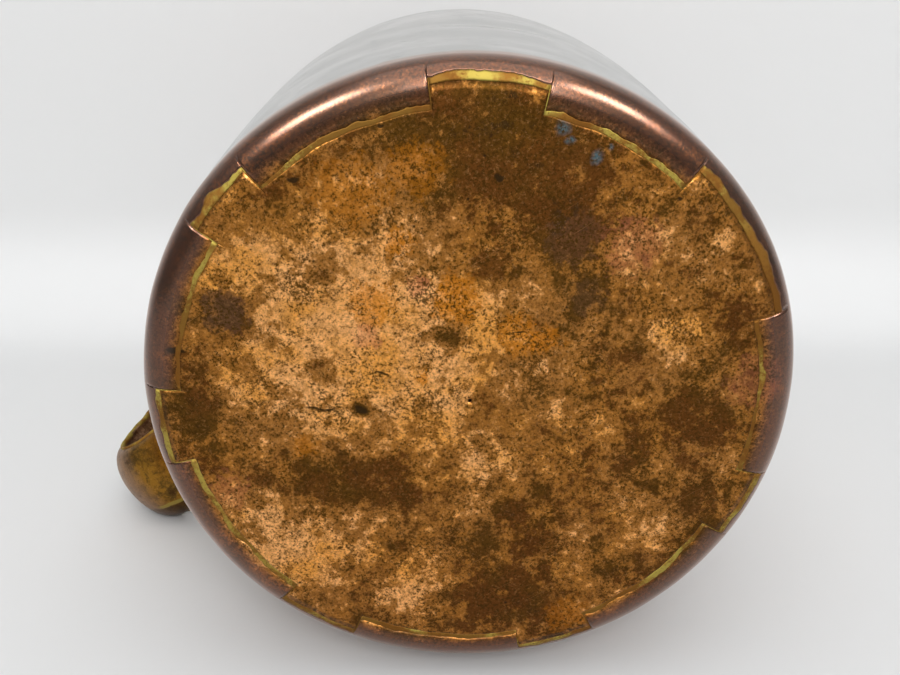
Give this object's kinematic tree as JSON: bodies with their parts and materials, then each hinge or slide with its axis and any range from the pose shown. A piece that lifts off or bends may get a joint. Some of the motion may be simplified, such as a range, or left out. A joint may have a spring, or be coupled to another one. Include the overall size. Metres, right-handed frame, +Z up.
{
  "type": "copper water jug",
  "caption": "Hand-made copper water jug with a flat round base, wide belly, short flared neck, pouring lip, strap handle and castellated brass brazed seams.",
  "frame": {"origin": "centre of the base's outer face, on the jug's axis", "axes": "+Z up along the jug's axis from base to mouth, +X towards the pouring lip, the handle on -X, +Y to complete a right-handed frame"},
  "size_m": [0.26, 0.194, 0.3011],
  "materials": {
    "aged_copper": "unlacquered copper with brown, orange and olive patina, worn bright in patches",
    "polished_copper": "smooth polished copper with shallow dents",
    "handle_copper": "darkened ochre copper, satin",
    "brass": "dull yellow-green brazing brass",
    "iron": "plain iron wire"
  },
  "bodies": {
    "root": {"base_disc": "aged_copper", "base_seam": "brass", "belly_shell": "polished_copper", "belly_seam": "brass", "waist_seam": "brass", "shoulder_shell": "polished_copper", "neck_band": "brass", "neck_shell": "polished_copper", "neck_seam": "brass", "rim_roll": "polished_copper", "rim_wire": "iron", "pouring_lip": "polished_copper", "lip_seam": "brass", "handle_back": "handle_copper", "handle_liner": "handle_copper", "handle_seams": "brass", "lower_plate": "handle_copper", "upper_plate": "handle_copper", "handle_rivets": "handle_copper"}
  },
  "joints": []
}
